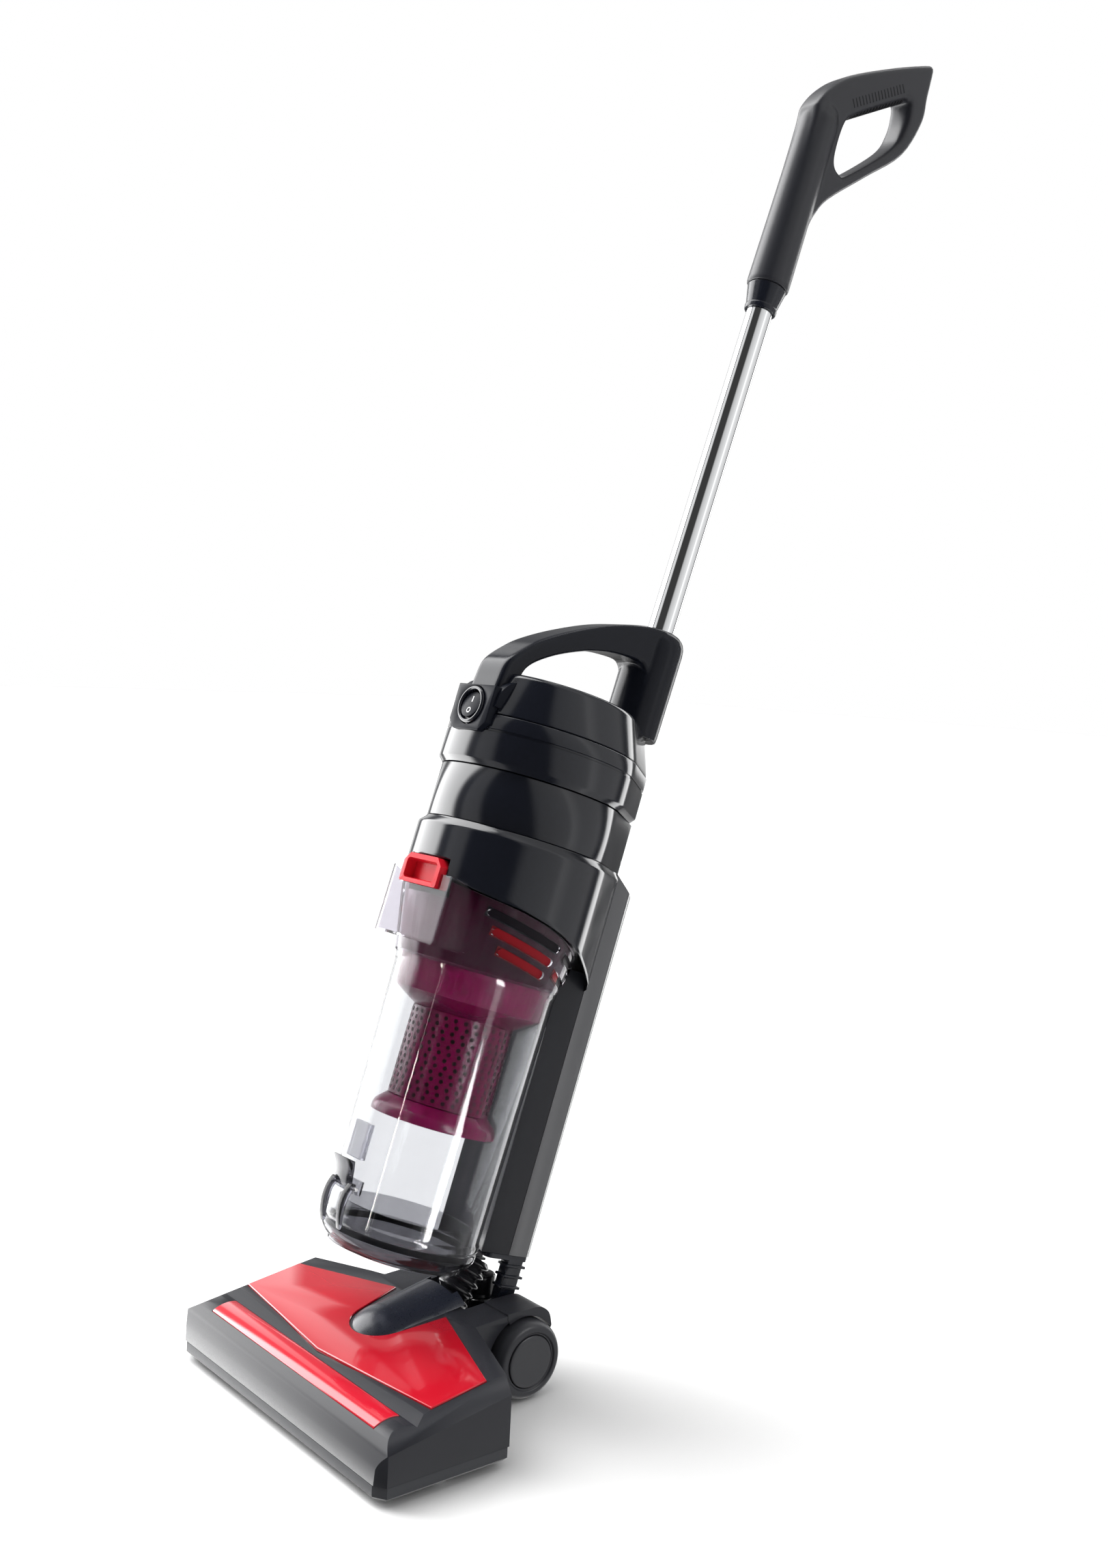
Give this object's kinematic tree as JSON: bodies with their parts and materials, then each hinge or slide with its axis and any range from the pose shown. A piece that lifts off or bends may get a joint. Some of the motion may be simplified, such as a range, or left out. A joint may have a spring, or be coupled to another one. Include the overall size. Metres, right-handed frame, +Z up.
{
  "type": "upright vacuum cleaner",
  "caption": "Upright vacuum cleaner with a wheeled brush head, reclining body, clear cyclone dust bin, motor housing, carry handle, chrome tube and loop handle.",
  "frame": {"origin": "on the floor, at the middle of the flat bottom of the head's glide strip", "axes": "+Z up, +Y to the back, +X to the head's right side; body leans back as in the picture"},
  "size_m": [0.28, 0.626, 1.0989],
  "materials": {
    "charcoal_plastic": "satin moulded",
    "base_grey_plastic": "fine textured",
    "red_gloss": "gloss",
    "red_window": "clear red gloss",
    "black_gloss": "high gloss",
    "silver_grey": "gloss",
    "clear": "clear gloss",
    "smoke": "smoked clear gloss",
    "burgundy": "translucent gloss",
    "chrome": "polished",
    "steel": "machined",
    "rotor_metal": "machined",
    "rubber": "matt",
    "wheel_grey": "matt",
    "bristle": "fibre",
    "filter_foam": "felt"
  },
  "bodies": {
    "head": {"top_shell": "charcoal_plastic", "sole_plate": "base_grey_plastic", "red_panel": "red_gloss", "neck_cover": "charcoal_plastic", "brush_window": "red_window", "glide_strip": "rubber", "sole_screws": "steel", "roller_pins": "steel", "axle": "steel", "brush_bearings": "base_grey_plastic", "brush_motor": "steel", "drive_belt": "rubber", "neck_duct": "charcoal_plastic", "hose": "rubber"},
    "right_wheel": {"wheel_right": "wheel_grey", "hub_cap_right": "charcoal_plastic"},
    "left_wheel": {"wheel_left": "wheel_grey", "hub_cap_left": "charcoal_plastic"},
    "right_roller": {"front_roller_right": "rubber"},
    "left_roller": {"front_roller_left": "rubber"},
    "brush": {"brush_core": "rotor_metal", "brush_tufts": "bristle"},
    "brush_drive": {"motor_pulley": "charcoal_plastic"},
    "main_body": {"yoke": "charcoal_plastic", "spine_front": "charcoal_plastic", "spine_rear": "silver_grey", "housing_lower": "black_gloss", "housing_waist": "black_gloss", "cap_ring": "black_gloss", "deck_cap": "black_gloss", "motor_can": "rotor_metal", "motor_stator": "steel", "motor_gasket": "rubber", "switch_plate": "black_gloss", "switch_bezel": "black_gloss", "carry_handle": "black_gloss", "tube": "chrome", "grip": "charcoal_plastic", "grip_collar": "charcoal_plastic", "grip_insert": "rubber", "body_screws": "steel"},
    "suction_fan": {"fan": "rotor_metal"},
    "power_rocker": {"rocker": "black_gloss"},
    "dust_bin": {"bin_wall": "clear", "bin_collar": "clear", "door_pin": "steel", "latch_pin": "steel", "cyclone_cup": "burgundy", "shroud": "burgundy", "shroud_skirt": "burgundy", "inner_cone": "burgundy", "filter_disc": "filter_foam", "button_spring": "steel"},
    "dust_door": {"bin_door": "smoke", "door_seal": "rubber"},
    "dust_latch": {"door_latch": "smoke"},
    "bin_button": {"release_button": "red_gloss"}
  },
  "joints": [
    {"name": "recline", "type": "hinge", "parent": "head", "child": "main_body", "pos_m": [0, 0.114, 0.0297], "axis": [-1, 0, 0], "range_deg": [-13, 50], "deforming": ["hose"]},
    {"name": "right_wheel_spin", "type": "hinge", "parent": "head", "child": "right_wheel", "pos_m": [0, 0.114, 0.0297], "axis": [1, 0, 0], "continuous": true},
    {"name": "left_wheel_spin", "type": "hinge", "parent": "head", "child": "left_wheel", "pos_m": [0, 0.114, 0.0297], "axis": [1, 0, 0], "continuous": true},
    {"name": "right_roller_spin", "type": "hinge", "parent": "head", "child": "right_roller", "pos_m": [0.092, 0.004, 0.007], "axis": [1, 0, 0], "continuous": true},
    {"name": "left_roller_spin", "type": "hinge", "parent": "head", "child": "left_roller", "pos_m": [-0.092, 0.004, 0.007], "axis": [1, 0, 0], "continuous": true},
    {"name": "brush_spin", "type": "hinge", "parent": "head", "child": "brush", "pos_m": [0, -0.04, 0.021], "axis": [1, 0, 0], "continuous": true},
    {"name": "brush_drive_spin", "type": "hinge", "parent": "head", "child": "brush_drive", "pos_m": [0, 0.012, 0.031], "axis": [1, 0, 0], "continuous": true},
    {"name": "fan_spin", "type": "hinge", "parent": "main_body", "child": "suction_fan", "pos_m": [0, 0.12423, 0.39136], "axis": [0, 0.3007, 0.9537], "continuous": true},
    {"name": "power_rock", "type": "hinge", "parent": "main_body", "child": "power_rocker", "pos_m": [0, 0.0864, 0.51548], "axis": [1, 0, 0], "range_deg": [0, 14]},
    {"name": "bin_pull", "type": "slide", "parent": "main_body", "child": "dust_bin", "axis": [0, -0.9537, 0.3007], "range_m": [0, 0.16]},
    {"name": "dust_door_swing", "type": "hinge", "parent": "dust_bin", "child": "dust_door", "pos_m": [0, 0.09485, 0.09865], "axis": [1, 0, 0], "range_deg": [0, 18]},
    {"name": "latch_lift", "type": "hinge", "parent": "dust_bin", "child": "dust_latch", "pos_m": [0, -0.01185, 0.16794], "axis": [-1, 0, 0], "range_deg": [0, 12], "stiffness_Nm_per_rad": 0.06},
    {"name": "bin_button_press", "type": "slide", "parent": "dust_bin", "child": "bin_button", "axis": [0, 0.9537, -0.3007], "range_m": [0, 0.003], "stiffness_N_per_m": 600, "deforming": ["button_spring"]}
  ],
  "couplings": [
    {"joint": "brush_drive_spin", "follows": "brush_spin", "ratio": 1.75}
  ]
}
